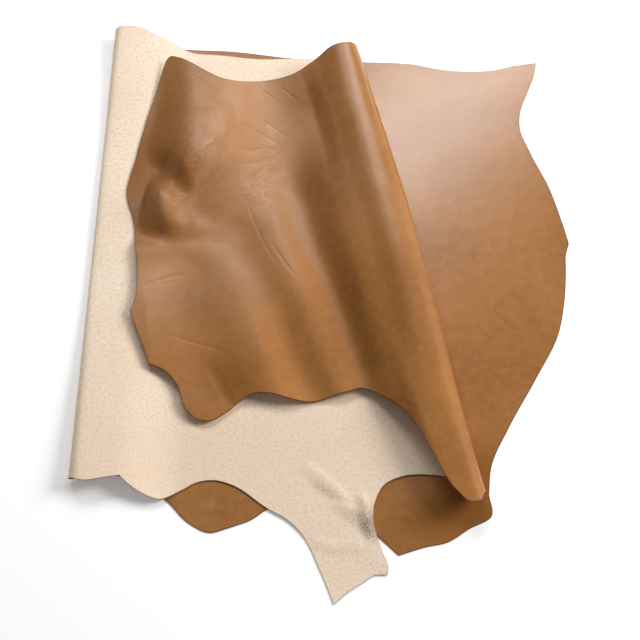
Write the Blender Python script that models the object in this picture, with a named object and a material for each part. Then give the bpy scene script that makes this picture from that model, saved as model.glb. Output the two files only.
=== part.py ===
"""A tanned calf side that lies folded in three layers: one cut sheet of leather, in metres with +Z up."""

from math import radians

import bpy
import numpy as np
from mathutils import Matrix, Vector
from mathutils.geometry import delaunay_2d_cdt

# Driving sizes, in millimetres: the leather, and the air between layers that lie on each other
MM = 0.001
THICKNESS = 1.5
AIR = 0.5

# Colours of the two sides, and the angle from which an edge is a sharp one
GRAIN_COLOUR = (0.33, 0.15, 0.055, 1.0)
GRAIN_ROUGHNESS = 0.45
FLESH_COLOUR = (0.78, 0.66, 0.51, 1.0)
FLESH_ROUGHNESS = 0.9
CUT_EDGE_ANGLE = radians(40.0)

# Heights of the sheet's middle where each layer lies flat on the one below
BOTTOM_LEVEL = THICKNESS / 2
MIDDLE_LEVEL = BOTTOM_LEVEL + THICKNESS + AIR
TOP_LEVEL = MIDDLE_LEVEL + THICKNESS + AIR

# The cut, flat with the grain side up and the back line along the top, in millimetres.
# Each edge is a smooth curve through its points, and the edges meet at corners, clockwise.
CUT = {
    "rump": (
        (348, 477), (344, 455), (333, 424), (318, 380), (316, 350), (330, 303), (356, 237), (373, 172),
        (381, 135),
    ),
    "thigh": (
        (381, 135), (375, 112), (374, 90), (368, 30), (357, -22), (318, -102), (276, -180), (247, -246),
        (242, -290),
    ),
    "hind shank": ((242, -290), (245, -322), (212, -343), (180, -364), (150, -371), (111, -384)),
    "flank": (
        (111, -384), (84, -357), (48, -322), (0, -301), (-40, -300), (-76, -313), (-98, -329), (-128, -341),
    ),
    "belly": (
        (-128, -341), (-157, -349), (-187, -334), (-220, -299), (-268, -266), (-325, -258), (-364, -269),
        (-397, -276), (-423, -269), (-445, -263),
    ),
    "elbow": (
        (-445, -263), (-457, -273), (-483, -286), (-506, -290), (-536, -272), (-558, -257), (-582, -252),
        (-606, -257), (-662, -290), (-696, -308), (-716, -327), (-743, -375), (-760, -411), (-768, -430),
    ),
    "fore shank": ((-768, -430), (-783, -414), (-807, -394), (-823, -382), (-840, -380)),
    "armpit": (
        (-840, -380), (-841, -372), (-830, -342), (-817, -305), (-816, -265), (-826, -241), (-848, -227),
        (-889, -221), (-919, -224), (-949, -238), (-990, -250),
    ),
    "brisket": (
        (-990, -250), (-1005, -259), (-1018, -255), (-1026, -230), (-1024, -164), (-1021, -117),
        (-1023, -80), (-1040, -34), (-1061, -4), (-1081, 0), (-1108, 7), (-1126, 12), (-1169, 38),
        (-1189, 57), (-1209, 68), (-1226, 69), (-1253, 63), (-1280, 62), (-1294, 71), (-1304, 92),
        (-1301, 139), (-1307, 167), (-1325, 191),
    ),
    "throat": ((-1325, 191), (-1322, 213), (-1319, 247), (-1314, 286)),
    "neck": (
        (-1314, 286), (-1300, 299), (-1282, 329), (-1264, 368), (-1248, 408), (-1240, 436), (-1237, 461),
        (-1231, 483), (-1221, 499), (-1190, 532), (-1142, 583), (-1096, 625), (-1067, 653), (-1054, 665),
    ),
    "back line": (
        (-1054, 665), (-1045, 667), (-1034, 655), (-1022, 630), (-1011, 605), (-999, 586), (-979, 570),
        (-950, 558), (-920, 547), (-890, 537), (-854, 534), (-814, 532), (-780, 520), (-738, 511),
        (-644, 507),
        (-575, 501), (-514, 504), (-460, 507), (-434, 518), (-409, 526), (-384, 535), (-358, 536),
        (-322, 526), (-280, 511), (-215, 504), (-142, 500), (-50, 487), (66, 479), (150, 474), (200, 463),
        (275, 462), (315, 472), (348, 477),
    ),
}

# Where each fold's nose runs as the sheet lies, which way it points, and how far before it the sheet lifts
LEFT_FOLD = {"south": (-360.0, -272.0), "north": (-331.5, 513.0), "outward": -1, "start": 50.0}
RIGHT_FOLD = {"south": (234.5, -291.0), "north": (56.0, 485.0), "outward": 1, "start": 45.0}

# Sections across each fold, a row for each place along it from its south end, in millimetres.
# Out is how far the nose bows outward. Each pair after the nose's height is a distance back from
# the nose and the height of the sheet's middle there.
LEFT_SECTIONS = (
    # along, out, nose, crest, shoulder, landing
    (-40, 0, 12, (16, 28), (62, 26), (170, MIDDLE_LEVEL)),
    (110, 0, 9, (14, 20), (60, 18), (160, MIDDLE_LEVEL)),
    (300, 0, 6, (12, 10), (58, 9), (120, MIDDLE_LEVEL)),
    (480, 0, 6, (12, 10), (50, 9), (110, MIDDLE_LEVEL)),
    (620, 0, 6, (12, 11), (50, 10), (120, MIDDLE_LEVEL)),
    (740, 0, 9, (12, 18), (48, 16), (140, MIDDLE_LEVEL)),
    (820, 0, 13, (14, 26), (46, 24), (150, MIDDLE_LEVEL)),
)
RIGHT_SECTIONS = (
    # along, out, nose, crest, shoulder, ridge 1, foot 2, ridge 2, foot 3, ridge 3, foot 4, ridge 4
    (-60, 0, 17, (22, 36), (40, 36), (54, 34), (90, 17), (140, 12), (185, 8), (245, 11), (285, 6), (365, 8)),
    (150, 1, 21, (33, 46), (60, 44), (86, 31), (122, 13), (150, 14), (192, 6), (250, 18), (292, 9), (370, 9)),
    (270, 5, 24, (29, 50), (63, 42), (90, 33), (130, 11), (172, 16), (218, 8), (262, 21), (350, 8),
     (425, 16)),
    (390, 8, 25, (27, 54), (62, 44), (92, 35), (137, 7), (185, 17), (231, 11), (276, 16), (355, 9),
     (430, 20)),
    (480, 10, 26, (26, 56), (64, 45), (93, 35), (149, 6), (198, 16), (256, 10), (300, 13), (345, 10),
     (425, 17)),
    (515, 10, 26, (26, 57), (65, 45), (94, 34), (151, 6), (202, 16), (262, 11), (335, 13), (362, 13),
     (430, 18)),
    (545, 9, 27, (26, 57), (66, 45), (96, 33), (153, 6), (206, 16), (288, 13), (352, 25), (410, 8), (445, 8)),
    (590, 8, 28, (25, 58), (67, 44), (95, 31), (157, 8), (213, 16), (288, 22), (346, 33), (402, 5), (430, 5)),
    (640, 7, 28, (25, 59), (66, 43), (93, 26), (155, 11), (213, 20), (252, 32), (292, 42), (384, 6),
     (425, 5)),
    (700, 5, 29, (24, 60), (67, 43), (92, 24), (150, 14), (210, 26), (238, 35), (266, 39), (372, 8),
     (405, 5)),
    (750, 4, 30, (22, 61), (70, 40), (95, 27), (150, 17), (205, 28), (232, 34), (256, 36), (352, 9),
     (395, 5)),
    (840, 0, 31, (18, 62), (80, 30), (108, 27), (150, 20), (205, 27), (228, 32), (248, 34), (322, 14),
     (400, 8)),
)

# The middle layer comes down to the surface past the bottom layer's edge, over this distance
EDGE_CLEARANCE = 20.0
SETTLE = 60.0
LANDED = 90.0

# How finely each fold's sections are worked out, how far past its start of lift they reach, and how
# far back its upper side holds up a layer that lies over it
STATIONS = 49
STEPS = 480
REACH = 520.0
ROOF = 200.0
CONTACT = 2.0
BEND_WINDOW = 13

# Steps of the mesh: over flat leather, along and across a fold, and along the cut edge. Where the
# leather bends, a step turns by at most TURN_PER_STEP degrees.
FLAT_STEP = 44.0
FOLD_ROW = 34.0
FOLD_COLUMN = 18.0
EDGE_STEP = 16.0
LEAST_STEP = 5.0
TURN_PER_STEP = 13.0
ROWS_BEFORE = 60.0
ROWS_AFTER = 260.0
OVER_LEFT_FOLD = 150.0
GRID_GAP = 12.0
EDGE_SHARE = 0.55
TRIANGLE_HEIGHT = 0.87

# Shape of a fold's section, as shares: how far the sheet runs level before it lifts, how its round
# nose swells below and above, and how far each ridge and foot carries its own slope
LEVEL_RUN = 0.35
SWELL_BELOW = 0.25
SWELL_ABOVE = 0.62
CREST_PULL = 0.36
KNOT_REACH = 0.38


def eased(t):
    """From 0 to 1 with level ends."""
    t = np.clip(t, 0.0, 1.0)
    return t * t * (3.0 - 2.0 * t)


def curve_through(at, places, values):
    """Values at these places, on a smooth curve through the given ones."""
    places = np.asarray(places, float)
    values = np.asarray(values, float)
    slopes = np.gradient(values, places)
    i = np.clip(np.searchsorted(places, at) - 1, 0, len(places) - 2)
    gap = places[i + 1] - places[i]
    t = np.clip((at - places[i]) / gap, 0.0, 1.0)
    rise = values[i + 1] - values[i]
    start = slopes[i] * gap
    end = slopes[i + 1] * gap
    return values[i] + t * (start + t * (3 * rise - 2 * start - end + t * (start + end - 2 * rise)))


def bezier(a, b, c, d, count=40):
    """Points of one cubic stretch, without its last."""
    t = np.linspace(0.0, 1.0, count, endpoint=False)[:, None]
    a, b, c, d = (np.array(p, float) for p in (a, b, c, d))
    return (1 - t) ** 3 * a + 3 * t * (1 - t) ** 2 * b + 3 * t * t * (1 - t) * c + t**3 * d


def section(start, low, out, nose, knots):
    """One fold's section, distance back from the nose line and height: along below, round, and back."""
    crest = knots[0]
    rise = nose - low
    drop = crest[1] - nose
    below = bezier((start, low), (start * LEVEL_RUN, low), (-out, low + SWELL_BELOW * rise), (-out, nose))
    pulled = CREST_PULL * crest[0] - (1.0 - CREST_PULL) * out
    over = bezier((-out, nose), (-out, nose + SWELL_ABOVE * drop), (pulled, crest[1]), crest)
    parts = [below, over]
    rises = [(b[1] - a[1]) / (b[0] - a[0]) for a, b in zip(knots[:-1], knots[1:])]
    slopes = [2 * p * q / (p + q) if p * q > 0 else 0.0 for p, q in zip(rises[:-1], rises[1:])]
    for a, b, leaving, arriving in zip(knots[:-1], knots[1:], [0.0, *slopes], [*slopes, 0.0]):
        reach = KNOT_REACH * (b[0] - a[0])
        past_a = (a[0] + reach, a[1] + reach * leaving)
        before_b = (b[0] - reach, b[1] - reach * arriving)
        parts.append(bezier(a, past_a, before_b, b))
    last = knots[-1]
    parts.append(np.array([last, (last[0] + REACH, last[1])], float))
    return np.concatenate(parts)


class Fold:
    """One fold of the sheet, from a flat distance past the start of its lift to a place in its section."""

    def __init__(self, line, sections, low):
        north = np.array(line["north"], float)
        self.south = np.array(line["south"], float)
        self.run = (north - self.south) / np.linalg.norm(north - self.south)
        self.out = line["outward"] * np.array([self.run[1], -self.run[0]])
        self.start = line["start"]
        self.first = sections[0][0]
        self.last = sections[-1][0]
        self.arcs = np.linspace(0.0, REACH, STEPS + 1)
        self.table = self.worked_out(sections, low)
        self.slack = REACH - self.table[:, 0, -1]
        upper_sides = [line[:, np.argmin(line[0]) :] for line in self.table]
        self.roof = np.array([np.interp(np.arange(ROOF + 1), *side) for side in upper_sides])
        self.crest_arc = self.arcs[np.argmax(self.table[:, 1], axis=1)].max()

    def worked_out(self, sections, low):
        """Distance back and height at even steps of arc length, at each of many stations along the fold."""
        stations = np.linspace(self.first, self.last, STATIONS)
        numbers = np.array([[row[1], row[2], *np.ravel(row[3:])] for row in sections], float)
        along = [row[0] for row in sections]
        smooth = np.array([curve_through(stations, along, column) for column in numbers.T]).T
        table = []
        for out, nose, *knots in smooth:
            line = section(self.start, low, out, nose, list(zip(knots[::2], knots[1::2])))
            lengths = np.concatenate([[0.0], np.cumsum(np.linalg.norm(np.diff(line, axis=0), axis=1))])
            table.append([np.interp(self.arcs, lengths, line[:, k]) for k in (0, 1)])
        return np.array(table)

    def along_and_past(self, points):
        """How far along the fold each point is, and how far past the start of the lift."""
        offset = points - self.south
        return offset @ self.run, offset @ self.out + self.start

    def lay(self, points):
        """Where flat points lie once folded: their place in plan and their height."""
        along, past = self.along_and_past(points)
        station = np.clip((along - self.first) / (self.last - self.first), 0.0, 0.99999) * (STATIONS - 1)
        step = np.clip(past / REACH, 0.0, 0.99999) * STEPS
        i = station.astype(int)
        j = step.astype(int)
        u = (station - i)[:, None]
        v = (step - j)[:, None]
        near = self.table[i, :, j] * (1 - v) + self.table[i, :, j + 1] * v
        far = self.table[i + 1, :, j] * (1 - v) + self.table[i + 1, :, j + 1] * v
        back, height = (near * (1 - u) + far * u).T
        back = back + np.maximum(past - REACH, 0.0)
        return self.south + along[:, None] * self.run - back[:, None] * self.out, height

    def flatten(self, plan):
        """The flat place of points of the level panel beyond this fold."""
        offset = plan - self.south
        along = offset @ self.run
        stations = np.linspace(self.first, self.last, STATIONS)
        past = np.interp(along, stations, self.slack) - offset @ self.out
        return self.south + along[:, None] * self.run + (past - self.start)[:, None] * self.out

    def roof_at(self, plan):
        """Height of the fold's upper side over points in plan."""
        offset = plan - self.south
        share = (offset @ self.run - self.first) / (self.last - self.first)
        station = np.clip(share, 0.0, 0.99999) * (STATIONS - 1)
        back = np.clip(-(offset @ self.out), 0.0, ROOF - 0.001)
        i = station.astype(int)
        j = back.astype(int)
        u = station - i
        v = back - j
        near = self.roof[i, j] * (1 - v) + self.roof[i, j + 1] * v
        far = self.roof[i + 1, j] * (1 - v) + self.roof[i + 1, j + 1] * v
        return near * (1 - u) + far * u

    def column_step(self):
        """How long a step across the fold may be at each arc length."""
        across = np.diff(self.table, axis=2)
        turn = np.abs(np.diff(np.unwrap(np.arctan2(across[:, 1], across[:, 0]), axis=1), axis=1)).max(axis=0)
        padded = np.pad(np.degrees(turn), BEND_WINDOW // 2 + 1, "edge")
        turn = np.convolve(padded, np.ones(BEND_WINDOW) / BEND_WINDOW, "valid")
        steps = TURN_PER_STEP / np.maximum(turn, 1e-6) * (REACH / STEPS)
        return np.clip(steps, LEAST_STEP, FOLD_COLUMN)

    def step_at(self, past):
        """The allowed step at points this far past the start of the lift."""
        return np.interp(past, self.arcs, self.column_step(), left=EDGE_STEP, right=EDGE_STEP)


left_fold = Fold(LEFT_FOLD, LEFT_SECTIONS, BOTTOM_LEVEL)
right_fold = Fold(RIGHT_FOLD, RIGHT_SECTIONS, MIDDLE_LEVEL)


def beyond_bottom_layer(plan):
    """How far each point lies south of the bottom layer's low edge."""
    low_edge = np.array(CUT["hind shank"] + CUT["flank"] + CUT["belly"], float)
    low_edge = low_edge[np.argsort(low_edge[:, 0])]
    return np.interp(plan[:, 0], low_edge[:, 0], low_edge[:, 1]) - plan[:, 1]


def fold_sheet(flat):
    """The folded place of each point of the flat sheet, in millimetres."""
    plan = flat.copy()
    height = np.full(len(flat), BOTTOM_LEVEL)
    _, past = left_fold.along_and_past(flat)
    lifted = past > 0
    plan[lifted], height[lifted] = left_fold.lay(flat[lifted])
    clear_of_fold = eased((past - left_fold.crest_arc - LANDED) / SETTLE)
    down = clear_of_fold * eased((beyond_bottom_layer(plan) - EDGE_CLEARANCE) / SETTLE)
    height -= down * (MIDDLE_LEVEL - BOTTOM_LEVEL)
    _, past = right_fold.along_and_past(plan)
    over = lifted & (left_fold.along_and_past(flat)[1] > left_fold.crest_arc) & (past > 0)
    plan[over], height[over] = right_fold.lay(plan[over])
    settled = eased((past[over] - right_fold.crest_arc) / SETTLE)
    lowest = left_fold.roof_at(plan[over]) - MIDDLE_LEVEL + TOP_LEVEL
    own = height[over] - lowest
    held = lowest + 0.5 * (own + np.sqrt(own * own + CONTACT * CONTACT))
    height[over] += settled * (held - height[over])
    return np.column_stack([plan, height])


def allowed_step(flat):
    """How far apart edge points may be at these flat points."""
    _, past = left_fold.along_and_past(flat)
    plan = flat.copy()
    plan[past > 0] = left_fold.lay(flat[past > 0])[0]
    _, past_right = right_fold.along_and_past(plan)
    beyond = past > left_fold.crest_arc + SETTLE
    right = np.where(beyond & (past_right > 0), right_fold.step_at(past_right), EDGE_STEP)
    return np.minimum(np.minimum(left_fold.step_at(past), right), EDGE_STEP)


def cut_loop():
    """Points round the cut edge, close enough for the folds they cross, and with every corner kept."""
    loop = []
    for points in CUT.values():
        points = np.array(points, float)
        places = np.concatenate([[0.0], np.cumsum(np.linalg.norm(np.diff(points, axis=0), axis=1))])
        fine = np.linspace(0.0, places[-1], int(places[-1]) + 1)
        line = np.column_stack([curve_through(fine, places, points[:, k]) for k in (0, 1)])
        count = np.concatenate([[0.0], np.cumsum(np.diff(fine) / allowed_step(line[1:]))])
        even = np.linspace(0.0, count[-1], int(np.ceil(count[-1])) + 1)[:-1]
        loop.append(np.column_stack([np.interp(even, count, line[:, k]) for k in (0, 1)]))
    return np.concatenate(loop)


def inside(points, loop):
    """Which points lie inside the loop."""
    ends = np.roll(loop, -1, axis=0)
    found = np.zeros(len(points), bool)
    for (ax, ay), (bx, by) in zip(loop, ends):
        crosses = (ay > points[:, 1]) != (by > points[:, 1])
        x = ax + (points[:, 1] - ay) / (by - ay if by != ay else 1.0) * (bx - ax)
        found ^= crosses & (points[:, 0] < x)
    return found


def columns(fold, past_end):
    """Places of the grid's columns across a fold, closer where it turns."""
    fine = np.arange(-FOLD_COLUMN, past_end, 1.0)
    count = np.cumsum(1.0 / fold.step_at(fine))
    return np.interp(np.arange(1.0, count[-1]), count, fine)


def grid_over(fold, past_end):
    """Grid points over a fold and beyond it, in the plan of the layer that the fold starts from."""
    rows = np.arange(fold.first - ROWS_BEFORE, fold.last + ROWS_AFTER, FOLD_ROW)
    along, past = np.meshgrid(rows, columns(fold, past_end), indexing="ij")
    along, past = along.ravel(), past.ravel()
    return fold.south + along[:, None] * fold.run + (past - fold.start)[:, None] * fold.out


def even_grid(low, high):
    """Points of an even triangular grid over a box."""
    rows = np.arange(low[1], high[1], FLAT_STEP * TRIANGLE_HEIGHT)
    found = []
    for k, y in enumerate(rows):
        x = np.arange(low[0] + (k % 2) * FLAT_STEP / 2, high[0], FLAT_STEP)
        found.append(np.column_stack([x, np.full(len(x), y)]))
    return np.concatenate(found)


def inner_points(loop):
    """Flat points inside the cut: grids over both folds, and even ones over the panels between."""
    left_end = left_fold.crest_arc + OVER_LEFT_FOLD
    over_left = grid_over(left_fold, left_end)
    over_right = left_fold.flatten(grid_over(right_fold, REACH + SETTLE))
    spread = even_grid(loop.min(axis=0), loop.max(axis=0))
    past = left_fold.along_and_past(spread)[1]
    plan = spread.copy()
    plan[past > 0] = left_fold.lay(spread[past > 0])[0]
    past_right = right_fold.along_and_past(plan)[1]
    bottom = past < -FOLD_COLUMN - GRID_GAP
    middle = (past > left_end + GRID_GAP) & (past_right < -FOLD_COLUMN - GRID_GAP)
    points = np.concatenate([over_left, over_right, spread[bottom | middle]])
    points = points[inside(points, loop)]
    nearest = np.array([np.linalg.norm(loop - p, axis=1).min() for p in points])
    return points[nearest > EDGE_SHARE * allowed_step(points)]


def leather_material(name, colour, roughness):
    """One side of the leather."""
    material = bpy.data.materials.new(name)
    material.use_nodes = True
    shader = material.node_tree.nodes["Principled BSDF"]
    shader.inputs["Base Color"].default_value = colour
    shader.inputs["Roughness"].default_value = roughness
    shader.inputs["Metallic"].default_value = 0.0
    return material


def leather_sheet():
    """The cut sheet, folded as it lies, with its own thickness: grain on one side, flesh on the other."""
    loop = cut_loop()
    flat = np.concatenate([loop, inner_points(loop)])
    edges = [(k, (k + 1) % len(loop)) for k in range(len(loop))]
    points, _, faces, *_ = delaunay_2d_cdt([Vector(p) for p in flat], edges, [], 1, 1e-4)
    folded = fold_sheet(np.array(points)) * MM
    mesh = bpy.data.meshes.new("hide middle")
    mesh.from_pydata(folded.tolist(), [], faces)
    mesh.materials.append(leather_material("Calf grain", GRAIN_COLOUR, GRAIN_ROUGHNESS))
    mesh.materials.append(leather_material("Calf flesh", FLESH_COLOUR, FLESH_ROUGHNESS))
    obj = bpy.data.objects.new("hide", mesh)
    bpy.context.scene.collection.objects.link(obj)
    body = obj.modifiers.new("Thickness", "SOLIDIFY")
    body.thickness = THICKNESS * MM
    body.offset = 0.0
    body.use_even_offset = True
    body.material_offset = 1
    body.material_offset_rim = 1
    return obj


def made_solid(obj):
    """Puts the thickness into the mesh itself, smooth over the faces and sharp along the cut edge."""
    graph = bpy.context.evaluated_depsgraph_get()
    mesh = bpy.data.meshes.new_from_object(obj.evaluated_get(graph))
    mesh.name = "hide"
    mesh.shade_smooth()
    mesh.set_sharp_from_angle(angle=CUT_EDGE_ANGLE)
    obj.modifiers.clear()
    obj.data = mesh


def centre_on_origin(mesh):
    """Moves the mesh so that the middle of its underside is the origin."""
    corners = np.array([tuple(vertex.co) for vertex in mesh.vertices])
    low, high = corners.min(axis=0), corners.max(axis=0)
    middle = (low + high) / 2
    mesh.transform(Matrix.Translation((-middle[0], -middle[1], -low[2])))


for old in list(bpy.data.objects):
    bpy.data.objects.remove(old, do_unlink=True)
hide = leather_sheet()
made_solid(hide)
centre_on_origin(hide.data)
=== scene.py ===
"""The look of a tanned calf side that lies folded in three layers: its grain, flesh side and cut edge.

Lengths are in millimetres until the mesh is made. A flat place is one on the sheet before it was folded,
and a plan place is one on the surface that the folded sheet lies on.
"""

from math import cos, pi, radians, sin

import bpy
import numpy as np
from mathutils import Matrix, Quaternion, Vector
from mathutils.geometry import delaunay_2d_cdt
from mathutils.kdtree import KDTree


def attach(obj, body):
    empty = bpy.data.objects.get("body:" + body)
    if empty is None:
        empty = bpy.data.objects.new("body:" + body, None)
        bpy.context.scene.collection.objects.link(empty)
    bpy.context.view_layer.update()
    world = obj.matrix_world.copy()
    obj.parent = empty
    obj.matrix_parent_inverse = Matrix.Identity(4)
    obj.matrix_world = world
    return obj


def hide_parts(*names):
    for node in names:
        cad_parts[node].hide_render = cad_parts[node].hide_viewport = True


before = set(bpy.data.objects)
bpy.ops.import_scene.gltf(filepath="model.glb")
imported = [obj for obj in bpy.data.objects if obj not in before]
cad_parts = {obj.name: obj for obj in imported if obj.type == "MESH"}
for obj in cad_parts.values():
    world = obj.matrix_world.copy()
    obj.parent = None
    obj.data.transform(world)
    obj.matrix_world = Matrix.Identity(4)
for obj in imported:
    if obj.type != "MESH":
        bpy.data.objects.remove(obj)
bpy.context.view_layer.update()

MM = 0.001
THICKNESS = 1.5
AIR = 0.5

# Heights of the sheet's middle where each layer lies flat on the one below
BOTTOM_LEVEL = THICKNESS / 2
MIDDLE_LEVEL = BOTTOM_LEVEL + THICKNESS + AIR
TOP_LEVEL = MIDDLE_LEVEL + THICKNESS + AIR

# Where the plan's zero lies in the part's own frame
PLAN_ZERO = (-10.16, -37.98)

# The cut, flat with the grain side up and the back line along the top.
# Each edge is a smooth curve through its points, and the edges meet at corners, clockwise.
CUT = {
    "rump": (
        (348, 477), (344, 455), (333, 424), (318, 380), (316, 350), (330, 303), (356, 237), (373, 172),
        (381, 135),
    ),
    "thigh": (
        (381, 135), (375, 112), (374, 90), (368, 30), (357, -22), (318, -102), (276, -180), (247, -246),
        (242, -290),
    ),
    "hind shank": ((242, -290), (245, -322), (212, -343), (180, -364), (150, -371), (111, -384)),
    "flank": (
        (111, -384), (84, -357), (48, -322), (0, -301), (-40, -300), (-76, -313), (-98, -329),
        (-128, -341),
    ),
    "belly": (
        (-128, -341), (-157, -349), (-187, -334), (-220, -299), (-268, -266), (-325, -258), (-364, -269),
        (-397, -276), (-423, -269), (-445, -263),
    ),
    "elbow": (
        (-445, -263), (-457, -273), (-483, -286), (-506, -290), (-536, -272), (-558, -257), (-582, -252),
        (-606, -257), (-662, -290), (-696, -308), (-716, -327), (-743, -375), (-760, -411), (-768, -430),
    ),
    "fore shank": ((-768, -430), (-783, -414), (-807, -394), (-823, -382), (-840, -380)),
    "armpit": (
        (-840, -380), (-841, -372), (-830, -342), (-817, -305), (-816, -265), (-826, -241), (-848, -227),
        (-889, -221), (-919, -224), (-949, -238), (-990, -250),
    ),
    "brisket": (
        (-990, -250), (-1005, -259), (-1018, -255), (-1026, -230), (-1024, -164), (-1021, -117),
        (-1023, -80), (-1040, -34), (-1061, -4), (-1081, 0), (-1108, 7), (-1126, 12), (-1169, 38),
        (-1189, 57), (-1209, 68), (-1226, 69), (-1253, 63), (-1280, 62), (-1294, 71), (-1304, 92),
        (-1301, 139), (-1307, 167), (-1325, 191),
    ),
    "throat": ((-1325, 191), (-1322, 213), (-1319, 247), (-1314, 286)),
    "neck": (
        (-1314, 286), (-1300, 299), (-1282, 329), (-1264, 368), (-1248, 408), (-1240, 436), (-1237, 461),
        (-1231, 483), (-1221, 499), (-1190, 532), (-1142, 583), (-1096, 625), (-1067, 653), (-1054, 665),
    ),
    "back line": (
        (-1054, 665), (-1045, 667), (-1034, 655), (-1022, 630), (-1011, 605), (-999, 586), (-979, 570),
        (-950, 558), (-920, 547), (-890, 537), (-854, 534), (-814, 532), (-780, 520), (-738, 511),
        (-644, 507),
        (-575, 501), (-514, 504), (-460, 507), (-434, 518), (-409, 526), (-384, 535), (-358, 536),
        (-322, 526), (-280, 511), (-215, 504), (-142, 500), (-50, 487), (66, 479), (150, 474), (200, 463),
        (275, 462), (315, 472), (348, 477),
    ),
}

# Where each fold's nose runs as the sheet lies, which way it points, and how far before it the sheet lifts
LEFT_FOLD = {"south": (-360.0, -272.0), "north": (-331.5, 513.0), "outward": -1, "start": 50.0}
RIGHT_FOLD = {"south": (234.5, -291.0), "north": (56.0, 485.0), "outward": 1, "start": 45.0}

# Sections across each fold, a row for each place along it from its south end. Out is how far the nose
# bows outward. Each pair after the nose's height is a distance back from the nose and the height of the
# sheet's middle there.
LEFT_SECTIONS = (
    # along, out, nose, crest, shoulder, landing
    (-40, 0, 12, (16, 28), (62, 26), (170, MIDDLE_LEVEL)),
    (110, 0, 9, (14, 20), (60, 18), (160, MIDDLE_LEVEL)),
    (300, 0, 6, (12, 10), (58, 9), (120, MIDDLE_LEVEL)),
    (480, 0, 6, (12, 10), (50, 9), (110, MIDDLE_LEVEL)),
    (620, 0, 6, (12, 11), (50, 10), (120, MIDDLE_LEVEL)),
    (740, 0, 9, (12, 18), (48, 16), (140, MIDDLE_LEVEL)),
    (820, 0, 13, (14, 26), (46, 24), (150, MIDDLE_LEVEL)),
)
RIGHT_SECTIONS = (
    # along, out, nose, crest, shoulder, ridge 1, foot 2, ridge 2, foot 3, ridge 3, foot 4, ridge 4
    (-60, 0, 17, (22, 36), (40, 36), (54, 34), (90, 17), (140, 12), (185, 8), (245, 11), (285, 6),
     (365, 8)),
    (150, 1, 21, (33, 46), (60, 44), (86, 31), (122, 13), (150, 14), (192, 6), (250, 18), (292, 9),
     (370, 9)),
    (270, 5, 24, (29, 50), (63, 42), (90, 33), (130, 11), (172, 16), (218, 8), (262, 21), (350, 8),
     (425, 16)),
    (390, 8, 25, (27, 54), (62, 44), (92, 35), (137, 7), (185, 17), (231, 11), (276, 16), (355, 9),
     (430, 20)),
    (480, 10, 26, (26, 56), (64, 45), (93, 35), (149, 6), (198, 16), (256, 10), (300, 13), (345, 10),
     (425, 17)),
    (515, 10, 26, (26, 57), (65, 45), (94, 34), (151, 6), (202, 16), (262, 11), (335, 13), (362, 13),
     (430, 18)),
    (545, 9, 27, (26, 57), (66, 45), (96, 33), (153, 6), (206, 16), (288, 13), (352, 25), (410, 8),
     (445, 8)),
    (590, 8, 28, (25, 58), (67, 44), (95, 31), (157, 8), (213, 16), (288, 22), (346, 33), (402, 5),
     (430, 5)),
    (640, 7, 28, (25, 59), (66, 43), (93, 26), (155, 11), (213, 20), (252, 32), (292, 42), (384, 6),
     (425, 5)),
    (700, 5, 29, (24, 60), (67, 43), (92, 24), (150, 14), (210, 26), (238, 35), (266, 39), (372, 8),
     (405, 5)),
    (750, 4, 30, (22, 61), (70, 40), (95, 27), (150, 17), (205, 28), (232, 34), (256, 36), (352, 9),
     (395, 5)),
    (840, 0, 31, (18, 62), (80, 30), (108, 27), (150, 20), (205, 27), (228, 32), (248, 34), (322, 14),
     (400, 8)),
)

# Broad raised and sunken places of the top layer as it lies: a soft ridge or dent from one end to the
# other, with its own reach on the side towards +X and on the side towards -X
TOP_HUMPS = (
    # name, x, y, to x, to y, height, reach east, reach west
    ("neck dent", -243, 266, -218, 222, -8, 27, 36),
    ("neck ridge", -256, 210, -230, 160, 4, 34, 22),
)

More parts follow.
